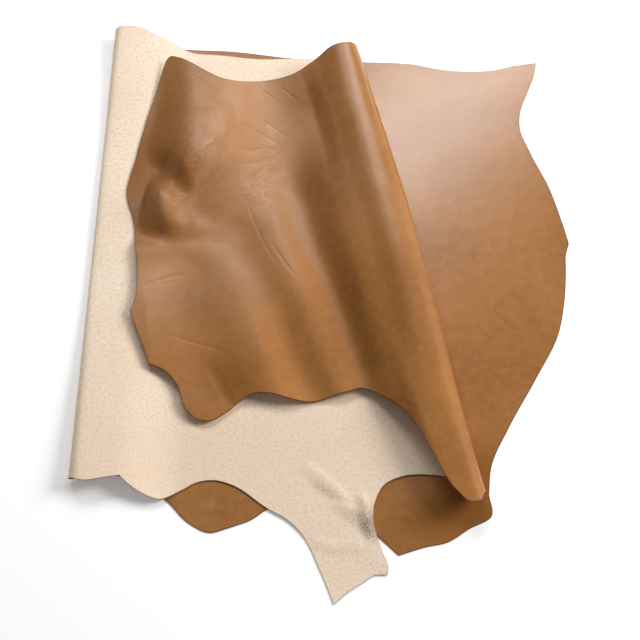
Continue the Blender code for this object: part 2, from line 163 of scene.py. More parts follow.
# Creases, each a soft trough or ridge along a line on its layer as it lies. They fade at both ends and
# have a reach on the left and on the right of the way they run.
CREASES = {
    "bottom": (
        # name, height, reach left, reach right, line
        ("vein", 0.16, 5, 5, ((308, 222), (300, 196), (292, 160), (284, 100), (276, 55))),
        ("vein branch", 0.12, 4, 4, ((290, 228), (294, 216), (301, 204))),
        ("shank ring", 0.5, 9, 6, ((88, -336), (97, -324), (112, -320), (128, -326), (134, -334))),
        ("belly fold", 0.6, 12, 7, ((-172, -318), (-156, -312), (-140, -314), (-128, -326))),
    ),
    "middle": (
        ("shank pull", 1.3, 10, 20, ((-26, -240), (-10, -250), (14, -270), (34, -292), (44, -310))),
        ("shank pull edge", 0.8, 8, 12, ((10, -300), (30, -309), (50, -312), (64, -324))),
        ("shank tuck", 2.4, 10, 14, ((58, -286), (64, -306), (65, -334), (74, -356))),
        ("shank roll", 1.4, 16, 16, ((-14, -362), (20, -372), (62, -364))),
    ),
    "top": (
        ("neck crease", -0.5, 9, 5, ((-208, 248), (-187, 272), (-172, 286), (-156, 292))),
        ("neck crease east", -0.3, 5, 5, ((-160, 291), (-141, 291), (-109, 294), (-86, 303), (-54, 301))),
        ("neck fan 1", -0.24, 4, 4, ((-127, 266), (-93, 274), (-70, 289), (-56, 301))),
        ("neck fan 2", -0.27, 4, 5, ((-136, 349), (-102, 332), (-71, 316), (-55, 303))),
        ("neck fan 3", -0.24, 4, 4, ((-97, 359), (-71, 339), (-46, 320))),
        ("neck fan 4", -0.3, 4, 4, ((-111, 237), (-93, 258), (-75, 281), (-57, 299))),
        ("neck fork", -0.4, 5, 4, ((-164, 323), (-172, 300), (-196, 276))),
        ("neck line 1", -0.3, 4, 4, ((-207, 432), (-175, 408), (-151, 387), (-125, 354))),
        ("neck line 2", -0.3, 4, 4, ((-114, 429), (-92, 413), (-70, 391))),
        ("neck line 3", -0.2, 3, 4, ((-152, 360), (-137, 349), (-122, 336))),
        ("neck line 4", -0.25, 3, 3, ((-64, 418), (-50, 404), (-35, 388))),
        ("long line", -0.23, 4, 4, ((-114, 212), (-103, 172), (-89, 135), (-61, 82))),
        ("long line east", -0.3, 4, 4, ((-74, 126), (-45, 78), (-19, 50))),
        ("edge fan 1", -0.45, 4, 5, ((-274, 46), (-250, 58), (-231, 67), (-201, 76))),
        ("edge fan 2", -0.3, 4, 4, ((-264, 46), (-242, 54), (-217, 62))),
        ("nick", -0.2, 3, 3, ((-223, 201), (-214, 207), (-204, 209))),
        ("brisket line", -0.35, 5, 4, ((-230, -32), (-195, -42), (-163, -52), (-137, -65))),
        ("brisket valley", -1.1, 16, 12, ((-168, -78), (-156, -100), (-145, -120), (-131, -154))),
    ),
}

# The middle layer comes down to the surface this far past the bottom layer's edge, over a distance to
# settle in, once it is this far past the crest of the left fold
EDGE_CLEARANCE = 20.0
SETTLE = 60.0
LANDED = 90.0

# How finely each fold's sections are worked out, and how far past its start of lift they reach
STATIONS = 97
STEPS = 1040
REACH = 520.0
BEZIER_STEPS = 40
LAST_PLACE = 0.99999

# How far back a fold's upper side holds up a layer that lies over it, and how softly that layer meets it
ROOF = 200.0
CONTACT = 2.0

# Steps of the mesh: over flat leather, along and across a fold, and along the cut edge. Where the
# leather bends, a step turns by at most TURN_PER_STEP degrees, taken over a window of arc steps.
BOTTOM_STEP = 13.0
MIDDLE_STEP = 11.0
FOLD_ROW = 8.8
FOLD_COLUMN = 4.9
EDGE_STEP = 3.4
LEAST_STEP = 1.7
TURN_PER_STEP = 6.6
BEND_WINDOW = 25

# How far a fold's rows go on past its first and last section, and the left fold's columns past its crest
ROWS_BEFORE = 60.0
ROWS_AFTER = 260.0
OVER_LEFT_FOLD = 150.0

# A crease counts as near up to this many of its reaches. The steps are halved once, and once more, from
# these shares of nearness on.
CREASE_SPAN = 3.0
HALVED = 1.0 / 3.0
HALVED_AGAIN = 0.62

# A second row of points lies just inside the cut edge, and no other point within this share of a step
# of it. Closer than the last two, a point counts as on the edge, or joins another.
RIM_INSET = 1.7
EDGE_SHARE = 0.55
SAME_POINT = 0.01
MERGE_DISTANCE = 1e-4

# Shape of a fold's section, as shares: how far the sheet runs level before it lifts, how its round nose
# swells below and above and leans back to its crest, and how far each ridge and foot carries its slope
LEVEL_RUN = 0.35
SWELL_BELOW = 0.25
SWELL_ABOVE = 0.62
CREST_PULL = 0.36
KNOT_REACH = 0.38

CUT_EDGE_ANGLE = radians(50.0)


# Curves and sections


def eased(t):
    """From 0 to 1 with level ends."""
    t = np.clip(t, 0.0, 1.0)
    return t * t * (3.0 - 2.0 * t)


def curve_through(at, places, values):
    """Values at these places, on a smooth curve through the given ones."""
    places = np.asarray(places, float)
    values = np.asarray(values, float)
    slopes = np.gradient(values, places)
    i = np.clip(np.searchsorted(places, at) - 1, 0, len(places) - 2)
    gap = places[i + 1] - places[i]
    t = np.clip((at - places[i]) / gap, 0.0, 1.0)
    rise = values[i + 1] - values[i]
    start = slopes[i] * gap
    end = slopes[i + 1] * gap
    return values[i] + t * (start + t * (3 * rise - 2 * start - end + t * (start + end - 2 * rise)))


def bezier(a, b, c, d):
    """Points of one cubic stretch, without its last."""
    t = np.linspace(0.0, 1.0, BEZIER_STEPS, endpoint=False)[:, None]
    a, b, c, d = (np.array(p, float) for p in (a, b, c, d))
    return (1 - t) ** 3 * a + 3 * t * (1 - t) ** 2 * b + 3 * t * t * (1 - t) * c + t**3 * d


def section(start, low, out, nose, knots):
    """One fold's section, distance back from the nose line and height: along below, round, and back."""
    crest = knots[0]
    rise = nose - low
    drop = crest[1] - nose
    below = bezier((start, low), (start * LEVEL_RUN, low), (-out, low + SWELL_BELOW * rise), (-out, nose))
    pulled = CREST_PULL * crest[0] - (1.0 - CREST_PULL) * out
    over = bezier((-out, nose), (-out, nose + SWELL_ABOVE * drop), (pulled, crest[1]), crest)
    parts = [below, over]
    rises = [(b[1] - a[1]) / (b[0] - a[0]) for a, b in zip(knots[:-1], knots[1:])]
    slopes = [2 * p * q / (p + q) if p * q > 0 else 0.0 for p, q in zip(rises[:-1], rises[1:])]
    for a, b, leaving, arriving in zip(knots[:-1], knots[1:], [0.0, *slopes], [*slopes, 0.0]):
        reach = KNOT_REACH * (b[0] - a[0])
        past_a = (a[0] + reach, a[1] + reach * leaving)
        before_b = (b[0] - reach, b[1] - reach * arriving)
        parts.append(bezier(a, past_a, before_b, b))
    last = knots[-1]
    parts.append(np.array([last, (last[0] + REACH, last[1])], float))
    return np.concatenate(parts)


class Fold:
    """One fold of the sheet, from a flat distance past the start of its lift to a place in its section."""

    def __init__(self, line, sections, low):
        north = np.array(line["north"], float)
        self.south = np.array(line["south"], float)
        self.run = (north - self.south) / np.linalg.norm(north - self.south)
        self.out = line["outward"] * np.array([self.run[1], -self.run[0]])
        self.start = line["start"]
        self.first = sections[0][0]
        self.last = sections[-1][0]
        self.arcs = np.linspace(0.0, REACH, STEPS + 1)
        self.table = self.worked_out(sections, low)
        self.slack = REACH - self.table[:, 0, -1]
        upper_sides = [line[:, np.argmin(line[0]) :] for line in self.table]
        self.roof = np.array([np.interp(np.arange(ROOF + 1), *side) for side in upper_sides])
        self.crest_arc = self.arcs[np.argmax(self.table[:, 1], axis=1)].max()

    def worked_out(self, sections, low):
        """Distance back and height at even steps of arc length, at many stations along the fold."""
        stations = np.linspace(self.first, self.last, STATIONS)
        numbers = np.array([[row[1], row[2], *np.ravel(row[3:])] for row in sections], float)
        along = [row[0] for row in sections]
        smooth = np.array([curve_through(stations, along, column) for column in numbers.T]).T
        table = []
        for out, nose, *knots in smooth:
            line = section(self.start, low, out, nose, list(zip(knots[::2], knots[1::2])))
            lengths = np.concatenate([[0.0], np.cumsum(np.linalg.norm(np.diff(line, axis=0), axis=1))])
            table.append([np.interp(self.arcs, lengths, line[:, k]) for k in (0, 1)])
        return np.array(table)

    def along_and_past(self, points):
        """How far along the fold each point is, and how far past the start of the lift."""
        offset = points - self.south
        return offset @ self.run, offset @ self.out + self.start

    def station_at(self, along):
        """The number of the station below each place along the fold, and the share past it."""
        share = (along - self.first) / (self.last - self.first)
        station = np.clip(share, 0.0, LAST_PLACE) * (STATIONS - 1)
        return station.astype(int), station - station.astype(int)

    def lay(self, points):
        """Where flat points lie once folded: their place in plan and their height."""
        along, past = self.along_and_past(points)
        i, u = self.station_at(along)
        step = np.clip(past / REACH, 0.0, LAST_PLACE) * STEPS
        j = step.astype(int)
        u = u[:, None]
        v = (step - j)[:, None]
        near = self.table[i, :, j] * (1 - v) + self.table[i, :, j + 1] * v
        far = self.table[i + 1, :, j] * (1 - v) + self.table[i + 1, :, j + 1] * v
        back, height = (near * (1 - u) + far * u).T
        back = back + np.maximum(past - REACH, 0.0)
        return self.south + along[:, None] * self.run - back[:, None] * self.out, height

    def flatten(self, plan):
        """The flat place of points of the level panel beyond this fold."""
        offset = plan - self.south
        along = offset @ self.run
        stations = np.linspace(self.first, self.last, STATIONS)
        past = np.interp(along, stations, self.slack) - offset @ self.out
        return self.south + along[:, None] * self.run + (past - self.start)[:, None] * self.out

    def roof_at(self, plan):
        """Height of the fold's upper side over points in plan."""
        offset = plan - self.south
        i, u = self.station_at(offset @ self.run)
        back = np.clip(-(offset @ self.out), 0.0, ROOF - 0.001)
        j = back.astype(int)
        v = back - j
        near = self.roof[i, j] * (1 - v) + self.roof[i, j + 1] * v
        far = self.roof[i + 1, j] * (1 - v) + self.roof[i + 1, j + 1] * v
        return near * (1 - u) + far * u

    def column_step(self):
        """How long a step across the fold may be at each arc length."""
        across = np.diff(self.table, axis=2)
        slope = np.unwrap(np.arctan2(across[:, 1], across[:, 0]), axis=1)
        turn = np.degrees(np.abs(np.diff(slope, axis=1)).max(axis=0))
        padded = np.pad(turn, BEND_WINDOW // 2 + 1, "edge")
        turn = np.convolve(padded, np.ones(BEND_WINDOW) / BEND_WINDOW, "valid")
        steps = TURN_PER_STEP / np.maximum(turn, 1e-6) * (REACH / STEPS)
        return np.clip(steps, LEAST_STEP, FOLD_COLUMN)

    def step_at(self, past):
        """The allowed step at points this far past the start of the lift."""
        return np.interp(past, self.arcs, self.column_step(), left=EDGE_STEP, right=EDGE_STEP)


left_fold = Fold(LEFT_FOLD, LEFT_SECTIONS, BOTTOM_LEVEL)
right_fold = Fold(RIGHT_FOLD, RIGHT_SECTIONS, MIDDLE_LEVEL)


# The folded sheet's middle


def humps_at(plan, humps):
    """Height added by a table of broad soft ridges."""
    total = np.zeros(len(plan))
    for _, x, y, to_x, to_y, height, reach_east, reach_west in humps:
        start = np.array([x, y], float)
        run = np.array([to_x, to_y], float) - start
        offset = plan - start
        share = np.clip(offset @ run / (run @ run), 0.0, 1.0)
        away = offset - share[:, None] * run
        distance = np.linalg.norm(away, axis=1)
        eastward = 0.5 + 0.5 * away[:, 0] / np.maximum(distance, 1e-6)
        reach = reach_west + (reach_east - reach_west) * eastward
        total += height * eased(1.0 - distance / reach)
    return total


def beside_line(plan, line):
    """Each point's distance to the line, whether it is left of it, and how far along, as a share."""
    line = np.array(line, float)
    lengths = np.linalg.norm(np.diff(line, axis=0), axis=1)
    before = np.concatenate([[0.0], np.cumsum(lengths)])
    distance = np.full(len(plan), np.inf)
    left = np.zeros(len(plan), bool)
    share = np.zeros(len(plan))
    for a, b, length, start in zip(line[:-1], line[1:], lengths, before):
        run = (b - a) / length
        t = np.clip((plan - a) @ run, 0.0, length)
        away = plan - a - t[:, None] * run
        d = np.linalg.norm(away, axis=1)
        nearer = d < distance
        distance[nearer] = d[nearer]
        left[nearer] = (run[0] * away[:, 1] - run[1] * away[:, 0] > 0)[nearer]
        share[nearer] = ((start + t) / before[-1])[nearer]
    return distance, left, share


def creases_at(plan, creases):
    """Height added by a table of creases, and each point's nearness to one, from 1 at its line to 0."""
    total = np.zeros(len(plan))
    nearness = np.zeros(len(plan))
    for _, height, reach_left, reach_right, line in creases:
        reach = max(reach_left, reach_right)
        low = np.min(line, axis=0) - CREASE_SPAN * reach
        high = np.max(line, axis=0) + CREASE_SPAN * reach
        close = np.flatnonzero(((plan > low) & (plan < high)).all(axis=1))
        if not len(close):
            continue
        distance, left, share = beside_line(plan[close], line)
        side = np.where(left, reach_left, reach_right)
        fade = 1.0 - (2.0 * share - 1.0) ** 4
        total[close] += height * fade * eased(1.0 - distance / side)
        nearness[close] = np.maximum(nearness[close], 1.0 - distance / (CREASE_SPAN * side))
    return total, nearness


def beyond_bottom_layer(plan):
    """How far each point lies south of the bottom layer's low edge."""
    low_edge = np.array(CUT["hind shank"] + CUT["flank"] + CUT["belly"], float)
    low_edge = low_edge[np.argsort(low_edge[:, 0])]
    return np.interp(plan[:, 0], low_edge[:, 0], low_edge[:, 1]) - plan[:, 1]


def softly_above(height, level):
    """These heights, but never under the level, with a soft change where they meet it."""
    own = height - level
    return level + 0.5 * (own + np.sqrt(own * own + CONTACT * CONTACT))


def fold_sheet(flat):
    """The folded place of each point of the flat sheet, and how near it is to a crease."""
    plan = flat.copy()
    height = np.full(len(flat), BOTTOM_LEVEL)
    nearness = np.zeros(len(flat))
    _, past = left_fold.along_and_past(flat)
    lifted = past > 0
    plan[lifted], height[lifted] = left_fold.lay(flat[lifted])
    clear_of_fold = eased((past - left_fold.crest_arc - LANDED) / SETTLE)
    down = clear_of_fold * eased((beyond_bottom_layer(plan) - EDGE_CLEARANCE) / SETTLE)
    height -= down * (MIDDLE_LEVEL - BOTTOM_LEVEL)

    _, past_right = right_fold.along_and_past(plan)
    crossed = past > left_fold.crest_arc
    over = crossed & (past_right > 0)
    middle = crossed & ~over
    bottom = past <= 0
    for layer, name in ((bottom, "bottom"), (middle, "middle")):
        raised, nearness[layer] = creases_at(plan[layer], CREASES[name])
        height[layer] += raised

    plan[over], height[over] = right_fold.lay(plan[over])
    settled = eased((past_right[over] - right_fold.crest_arc) / SETTLE)
    raised, nearness[over] = creases_at(plan[over], CREASES["top"])
    own = height[over] + humps_at(plan[over], TOP_HUMPS) + raised
    held = softly_above(own, left_fold.roof_at(plan[over]) - MIDDLE_LEVEL + TOP_LEVEL)
    height[over] += settled * (held - height[over])
    return np.column_stack([plan, height]), nearness


# The mesh


def allowed_step(flat):
    """How far apart edge points may be at these flat points."""
    _, past = left_fold.along_and_past(flat)
    plan = flat.copy()
    plan[past > 0] = left_fold.lay(flat[past > 0])[0]
    _, past_right = right_fold.along_and_past(plan)
    beyond = past > left_fold.crest_arc + SETTLE
    right = np.where(beyond & (past_right > 0), right_fold.step_at(past_right), EDGE_STEP)
    return np.minimum(np.minimum(left_fold.step_at(past), right), EDGE_STEP)


def cut_loop():
    """Points round the cut edge, close enough for the folds they cross, and with every corner kept."""
    loop = []
    for points in CUT.values():
        points = np.array(points, float)
        places = np.concatenate([[0.0], np.cumsum(np.linalg.norm(np.diff(points, axis=0), axis=1))])
        fine = np.linspace(0.0, places[-1], int(places[-1]) + 1)
        line = np.column_stack([curve_through(fine, places, points[:, k]) for k in (0, 1)])
        count = np.concatenate([[0.0], np.cumsum(np.diff(fine) / allowed_step(line[1:]))])
        even = np.linspace(0.0, count[-1], int(np.ceil(count[-1])) + 1)[:-1]
        loop.append(np.column_stack([np.interp(even, count, line[:, k]) for k in (0, 1)]))
    return np.concatenate(loop)


def inset(loop, distance):
    """The loop moved inward by a small distance. It runs clockwise, so inward is to the right."""
    ahead = np.roll(loop, -1, axis=0) - np.roll(loop, 1, axis=0)
    ahead /= np.linalg.norm(ahead, axis=1)[:, None]
    return loop + distance * np.column_stack([ahead[:, 1], -ahead[:, 0]])


def inside(points, loop):
    """Which points lie inside the loop."""
    ends = np.roll(loop, -1, axis=0)
    found = np.zeros(len(points), bool)
    order = np.argsort(points[:, 1])
    heights = points[order, 1]
    for (ax, ay), (bx, by) in zip(loop, ends):
        if ay == by:
            continue
        first, last = np.searchsorted(heights, (min(ay, by), max(ay, by)))
        level = order[first:last]
        x = ax + (points[level, 1] - ay) / (by - ay) * (bx - ax)
        found[level] ^= points[level, 0] < x
    return found


def distance_to(loop, points):
    """How far each point is from the loop's nearest point."""
    tree = KDTree(len(loop))
    for k, place in enumerate(loop):
        tree.insert((*place, 0.0), k)
    tree.balance()
    return np.array([tree.find((*place, 0.0))[2] for place in points])


def area_of(loop):
    """The area inside the loop, in square millimetres."""
    ahead = np.roll(loop, -1, axis=0)
    return abs(np.sum(loop[:, 0] * ahead[:, 1] - loop[:, 1] * ahead[:, 0])) / 2


def halved_twice(marks):
    """Three more places evenly in each gap between marks."""
    fine = np.arange(4 * (len(marks) - 1) + 1) / 4.0
    return np.interp(fine, np.arange(len(marks)), marks)


def thinned(rows, columns, flat_place):
    """Flat grid points: every fourth row and column, and more of them near a crease."""
    i, j = np.meshgrid(np.arange(4 * len(rows) - 3), np.arange(4 * len(columns) - 3), indexing="ij")
    i, j = i.ravel(), j.ravel()
    points = flat_place(halved_twice(rows)[i], halved_twice(columns)[j])
    coarse = (i % 4 == 0) & (j % 4 == 0)
    half = (i % 2 == 0) & (j % 2 == 0)
    close = np.zeros(len(points))
    close[~coarse] = fold_sheet(points[~coarse])[1]
    return points[coarse | (half & (close > HALVED)) | (close > HALVED_AGAIN)]


def columns(fold, past_end):
    """Places of the grid's columns across a fold, closer where it turns."""
    fine = np.arange(-FOLD_COLUMN, past_end, 1.0)
    count = np.cumsum(1.0 / fold.step_at(fine))
    return np.interp(np.arange(1.0, count[-1]), count, fine)


def grid_over(fold, past_end, flat_place):
    """Grid points over a fold and beyond it, as flat places."""
    rows = np.arange(fold.first - ROWS_BEFORE, fold.last + ROWS_AFTER, FOLD_ROW)

    def place(along, past):
        on_layer = fold.south + along[:, None] * fold.run + (past - fold.start)[:, None] * fold.out
        return flat_place(on_layer)

    return thinned(rows, columns(fold, past_end), place)


def inner_points(loop):
    """Flat points inside the cut: grids over both folds, and even ones over the panels between."""
    low, high = loop.min(axis=0), loop.max(axis=0)
    left_end = left_fold.crest_arc + OVER_LEFT_FOLD
    over_left = grid_over(left_fold, left_end, lambda place: place)
    over_right = grid_over(right_fold, REACH + SETTLE, left_fold.flatten)
    found = [over_left, over_right]
    for step, panel in ((BOTTOM_STEP, "bottom"), (MIDDLE_STEP, "middle")):
        rows = np.arange(low[1], high[1], step)
        spread = thinned(rows, np.arange(low[0], high[0], step), lambda y, x: np.column_stack([x, y]))
        past = left_fold.along_and_past(spread)[1]
        plan = spread.copy()
        plan[past > 0] = left_fold.lay(spread[past > 0])[0]
        past_right = right_fold.along_and_past(plan)[1]
        clear = -FOLD_COLUMN - step / 2
        if panel == "bottom":
            found.append(spread[past < clear])
        else:
            found.append(spread[(past > left_end + step / 2) & (past_right < clear)])
    points = np.concatenate(found)
    points = points[inside(points, loop)]
    return points[distance_to(loop, points) > RIM_INSET + EDGE_SHARE * allowed_step(points)]


def sheet_mesh():
    """The folded middle of the sheet, its flat places kept as a map, and its rim marked."""
    loop = cut_loop()
    rim = inset(loop, RIM_INSET)
    rim = rim[inside(rim, loop)]
    flat = np.concatenate([loop, rim, inner_points(loop)])
    edges = [(k, (k + 1) % len(loop)) for k in range(len(loop))]
    points, _, faces, *_ = delaunay_2d_cdt([Vector(p) for p in flat], edges, [], 1, MERGE_DISTANCE)
    points = np.array(points)
    folded = fold_sheet(points)[0]
    folded[:, :2] += PLAN_ZERO
    mesh = bpy.data.meshes.new("hide middle")
    mesh.from_pydata((folded * MM).tolist(), [], faces)
    corners = np.empty(len(mesh.loops), int)
    mesh.loops.foreach_get("vertex_index", corners)
    cut_map = mesh.uv_layers.new(name=CUT_MAP)
    cut_map.uv.foreach_set("vector", ((points[corners] - CUT_MAP_LOW) / CUT_MAP_SPAN).ravel())
    on_rim = (distance_to(loop, points) < SAME_POINT).astype(float)
    mesh.attributes.new(RIM_MARK, "FLOAT", "POINT").data.foreach_set("value", on_rim)
    return mesh


def leather_sheet(materials):
    """The sheet with its thickness: grain on one side, flesh on the other, and the cut edge round it."""
    mesh = sheet_mesh()
    for material in materials:
        mesh.materials.append(material)
    obj = bpy.data.objects.new("calf_side", mesh)
    bpy.context.scene.collection.objects.link(obj)
    body = obj.modifiers.new("Thickness", "SOLIDIFY")
    body.thickness = THICKNESS * MM
    body.offset = 0.0
    body.use_even_offset = True
    body.material_offset = 1
    body.material_offset_rim = 2
    graph = bpy.context.evaluated_depsgraph_get()
    solid = bpy.data.meshes.new_from_object(obj.evaluated_get(graph))
    solid.name = "calf_side"
    solid.shade_smooth()
    solid.set_sharp_from_angle(angle=CUT_EDGE_ANGLE)
    obj.modifiers.clear()
    obj.data = solid
    bpy.data.meshes.remove(mesh)
    return obj


# Materials

# The map of flat places runs from 0 to 1 over this square of the cut. The points on the cut edge carry a
# mark of their own.
CUT_MAP = "Cut"
CUT_MAP_LOW = np.array([-1360.0, -440.0])
CUT_MAP_SPAN = 1800.0
RIM_MARK = "rim"


class Shader:
    """A material's nodes, made and joined by short calls."""

    def __init__(self, name):
        self.material = bpy.data.materials.new(name)
        self.material.use_nodes = True
        self.tree = self.material.node_tree
        self.surface = self.tree.nodes["Principled BSDF"]
        place = self.tree.nodes.new("ShaderNodeUVMap")
        place.uv_map = CUT_MAP
        metres = self.tree.nodes.new("ShaderNodeVectorMath")
        metres.operation = "SCALE"
        metres.inputs["Scale"].default_value = CUT_MAP_SPAN * MM
        self.tree.links.new(place.outputs["UV"], metres.inputs[0])
        self.metres = metres.outputs[0]

    def wire(self, value, socket):
        """Joins a socket's value to another, or sets it where it is a plain number or colour."""
        if isinstance(value, bpy.types.NodeSocket):
            self.tree.links.new(value, socket)
        else:
            socket.default_value = value

    def noise(self, per_metre, detail=2.0, rough=0.5, stretch=(1.0, 1.0, 1.0), turn=0.0, wander=0.0):
        """Soft noise from 0 to 1, with so many patches a metre."""
        mapping = self.tree.nodes.new("ShaderNodeMapping")
        mapping.inputs["Rotation"].default_value = (0.0, 0.0, radians(turn))
        mapping.inputs["Scale"].default_value = stretch
        self.tree.links.new(self.metres, mapping.inputs["Vector"])
        node = self.tree.nodes.new("ShaderNodeTexNoise")
        node.inputs["Scale"].default_value = per_metre
        node.inputs["Detail"].default_value = detail
        node.inputs["Roughness"].default_value = rough
        node.inputs["Distortion"].default_value = wander
        self.tree.links.new(mapping.outputs["Vector"], node.inputs["Vector"])
        return node.outputs["Fac"]

    def cells(self, per_metre):
        """Distance to the nearest of scattered points."""
        node = self.tree.nodes.new("ShaderNodeTexVoronoi")
        node.inputs["Scale"].default_value = per_metre
        self.tree.links.new(self.metres, node.inputs["Vector"])
        return node.outputs["Distance"]

    def along_and_across(self):
        """How far along and across the cut a place lies, in metres from the map's low corner."""
        node = self.tree.nodes.new("ShaderNodeSeparateXYZ")
        self.tree.links.new(self.metres, node.inputs[0])
        return node.outputs["X"], node.outputs["Y"]

    def spread(self, value, low, high, to_low=0.0, to_high=1.0):
        """The value eased from one range to another."""
        node = self.tree.nodes.new("ShaderNodeMapRange")
        node.interpolation_type = "SMOOTHSTEP"
        node.inputs["From Min"].default_value = low
        node.inputs["From Max"].default_value = high
        node.inputs["To Min"].default_value = to_low
        node.inputs["To Max"].default_value = to_high
        self.wire(value, node.inputs["Value"])
        return node.outputs["Result"]

    def maths(self, kind, a, b=0.0):
        """One sum on one or two numbers."""
        node = self.tree.nodes.new("ShaderNodeMath")
        node.operation = kind
        self.wire(a, node.inputs[0])
        self.wire(b, node.inputs[1])
        return node.outputs[0]

    def blend(self, share, a, b):
        """One colour over another."""
        node = self.tree.nodes.new("ShaderNodeMix")
        node.data_type = "RGBA"
        self.wire(share, node.inputs["Factor"])
        self.wire(a, node.inputs["A"])
        self.wire(b, node.inputs["B"])
        return node.outputs["Result"]

    def attribute(self, name):
        """A number kept on the mesh's points."""
        node = self.tree.nodes.new("ShaderNodeAttribute")
        node.attribute_name = name
        return node.outputs["Fac"]

    def near_place(self, x, y, radius, flatness, turn):
        """From 1 at a flat place to 0 at the radius round it, with its outline pressed flat and turned."""
        offset = self.tree.nodes.new("ShaderNodeVectorMath")
        offset.operation = "SUBTRACT"
        self.tree.links.new(self.metres, offset.inputs[0])
        offset.inputs[1].default_value = ((x - CUT_MAP_LOW[0]) * MM, (y - CUT_MAP_LOW[1]) * MM, 0.0)
        mapping = self.tree.nodes.new("ShaderNodeMapping")
        mapping.vector_type = "TEXTURE"
        mapping.inputs["Rotation"].default_value = (0.0, 0.0, radians(turn))
        mapping.inputs["Scale"].default_value = (radius * MM, radius * MM * flatness, 1.0)
        self.tree.links.new(offset.outputs[0], mapping.inputs["Vector"])
        length = self.tree.nodes.new("ShaderNodeVectorMath")
        length.operation = "LENGTH"
        self.tree.links.new(mapping.outputs["Vector"], length.inputs[0])
        return self.spread(length.outputs["Value"], 1.0, 0.0)

    def shares_at(self, places):
        """How strongly each of a table's places shows."""
        return [self.maths("MULTIPLY", self.near_place(*place), share) for *place, share in places]

    def bump(self, height, distance, strength, over=None):
        """A normal raised by this height, in millimetres at its highest, over another bump."""
        node = self.tree.nodes.new("ShaderNodeBump")
        node.inputs["Strength"].default_value = strength
        node.inputs["Distance"].default_value = distance * MM
        self.wire(height, node.inputs["Height"])
        if over is not None:
            self.tree.links.new(over, node.inputs["Normal"])
        return node.outputs["Normal"]

    def finish(self, **sockets):
        """Sets the surface's named sockets and returns the material."""
        for name, value in sockets.items():
            self.wire(value, self.surface.inputs[name.replace("_", " ")])
        return self.material


GRAIN_DEEP = (0.240, 0.092, 0.020, 1.0)
GRAIN_TAN = (0.342, 0.139, 0.033, 1.0)
GRAIN_PALE = (0.395, 0.170, 0.047, 1.0)
GRAIN_LIT = (0.430, 0.192, 0.058, 1.0)
FLESH_PALE = (0.960, 0.815, 0.655, 1.0)
FLESH_WARM = (0.850, 0.655, 0.480, 1.0)
FLESH_ROSE = (0.760, 0.540, 0.380, 1.0)
FLESH_DARK = (0.430, 0.300, 0.200, 1.0)
# Colour of the leg's smudges: dirt, and painted shade in the leg's folds
FLESH_SMUDGE_AND_SHADE = (0.190, 0.140, 0.105, 1.0)
# The cut edge's colour: its own dark brown, made darker as painted contact shade
EDGE_BROWN_AND_SHADE = (0.085, 0.036, 0.014, 1.0)

# How many patches or cells a metre each pattern has
PATCHES = {
    "grain clouds": 7.0,
    "mottle": 70.0,
    "fine mottle": 420.0,
    "pores": 620.0,
    "flesh clouds": 9.0,
    "flecks": 210.0,
    "clumps": 330.0,
    "fibres": 760.0,
    "edge fibres": 900.0,
}
PORE_WALLS = (0.05, 0.45)
FIBRE_STRETCH = (1.0, 2.2, 1.0)
FIBRE_TURN = 25.0

# The share of even tan over the grain's clouds, and of dark at the rim of the flesh side, which is painted
# contact shade along the cut edge
EVEN_TAN = 0.55
FLESH_RIM_SHADE = 0.6

# Where each pattern starts and ends to show as colour, and its share at both
GRAIN_CLOUDS = (0.32, 0.68, 0.0, 1.0)
MOTTLE_TINT = (0.35, 0.75, 0.0, 0.40)
FINE_TINT = (0.50, 0.78, 0.0, 0.35)
# The wrinkles' darker colour is painted shade in their creases
WRINKLE_SHADE_TINT = 0.26
FLESH_CLOUDS = (0.30, 0.75, 0.0, 0.45)
CLUMP_TINT = (0.42, 0.70, 0.0, 0.55)
FLECK_TINT = (0.48, 0.62, 0.0, 0.60)
FIBRE_TINT = (0.50, 0.68, 0.0, 0.34)
EDGE_TINT = (0.35, 0.70, 0.0, 1.0)

# How high each pattern stands, in millimetres, and how strongly that shows
CLOUD_RELIEF = (1.2, 0.35)
MOTTLE_RELIEF = (0.35, 0.45)
WRINKLE_RELIEF = (-0.22, 0.80)
PORE_RELIEF = (0.06, 0.5)
FLECK_RELIEF = (0.7, 0.6)
CLUMP_RELIEF = (0.5, 0.6)
FIBRE_RELIEF = (0.25, 0.6)
EDGE_RELIEF = (0.2, 0.5)

# The grain is smoother on the rump than at the neck: metres along the cut, and roughness at both
NECK_TO_RUMP = (0.35, 1.00)
ROUGHNESS = (0.36, 0.215)
MOTTLE_ROUGHNESS = (0.3, 0.7, -0.02, 0.03)

# The finish is drier on the brisket and in the darker places of dye and painted shade: the usual gloss,
# how much of it each lacks, and where the brisket passes into the neck and into the shoulder, in metres
# across and along the cut
GLOSS = 0.5
BRISKET_DRIER = 0.36
DYE_AND_SHADE_DRIER = 0.42
BRISKET_TO_NECK = (0.58, 0.80)
BRISKET_TO_SHOULDER = (0.40, 0.52)

# The wrinkled stretch of the neck, as a place on the flat cut: x, y, radius, flatness, turn
WRINKLED = (-1110, 430, 330, 0.75, 20)
WRINKLES = (
    # patches a metre, turn, wander, width
    (26.0, 20.0, 0.7, 0.017),
    (44.0, -35.0, 0.5, 0.024),
    (85.0, 65.0, 0.4, 0.038),
)
WRINKLE_STRETCH = (1.0, 3.0, 1.0)
WRINKLE_PATCH = 0.4
WRINKLE_GAPS = (0.42, 0.62)
